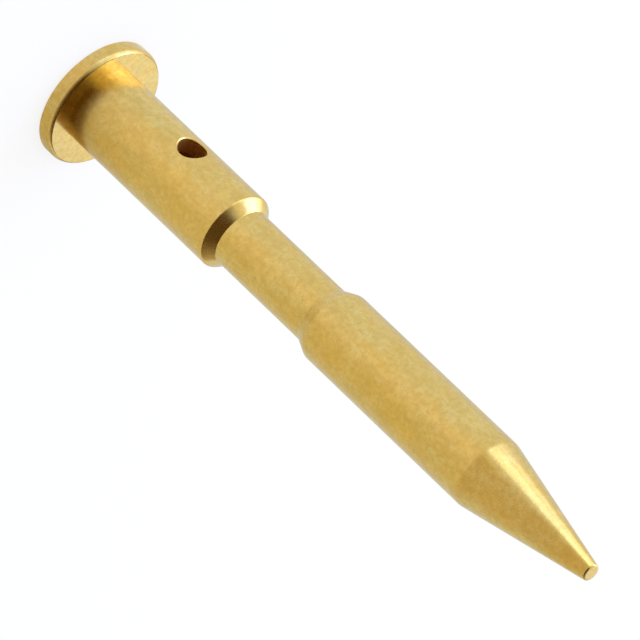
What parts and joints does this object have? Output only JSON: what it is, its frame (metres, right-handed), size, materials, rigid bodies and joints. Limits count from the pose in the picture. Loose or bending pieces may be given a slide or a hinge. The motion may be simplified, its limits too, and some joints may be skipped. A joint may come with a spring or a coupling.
{
  "type": "solder pin contact",
  "caption": "Gold-plated turned pin contact with a flat head, a blind solder cup with a sight hole, a neck and a tapered nose.",
  "frame": {"origin": "middle of the rear face of the head, on which the contact stands", "axes": "+Z along the contact's axis towards the tip; the sight hole of the solder cup looks towards -Y"},
  "size_m": [0.0028, 0.0028, 0.0158],
  "materials": {
    "gold_plating": "satin gold plating over turned brass"
  },
  "bodies": {
    "root": {"pin_contact": "gold_plating"}
  },
  "joints": []
}
